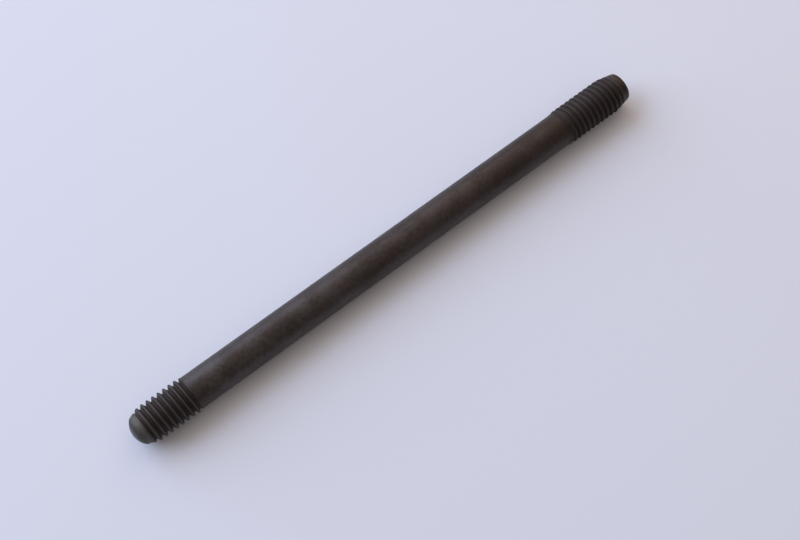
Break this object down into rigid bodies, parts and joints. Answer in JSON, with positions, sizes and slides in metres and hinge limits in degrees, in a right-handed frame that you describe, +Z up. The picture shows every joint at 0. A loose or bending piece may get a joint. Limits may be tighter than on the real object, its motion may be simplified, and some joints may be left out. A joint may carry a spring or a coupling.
{
  "type": "cylinder stud",
  "caption": "Plain steel stud with a right-hand coarse thread at each end: a short domed end for the nut and a longer tapered end that screws into the crankcase.",
  "frame": {"origin": "on the floor, under the middle of the stud's length and of its width", "axes": "+X runs along the stud from the nut end to the crankcase end, +Y is across it and +Z is up"},
  "size_m": [0.1232, 0.0078, 0.0078],
  "materials": {
    "steel": "black oxide over turned and rolled steel, satin, rubbed lighter on the thread crests and the dome"
  },
  "bodies": {
    "root": {"stud": "steel"}
  },
  "joints": []
}
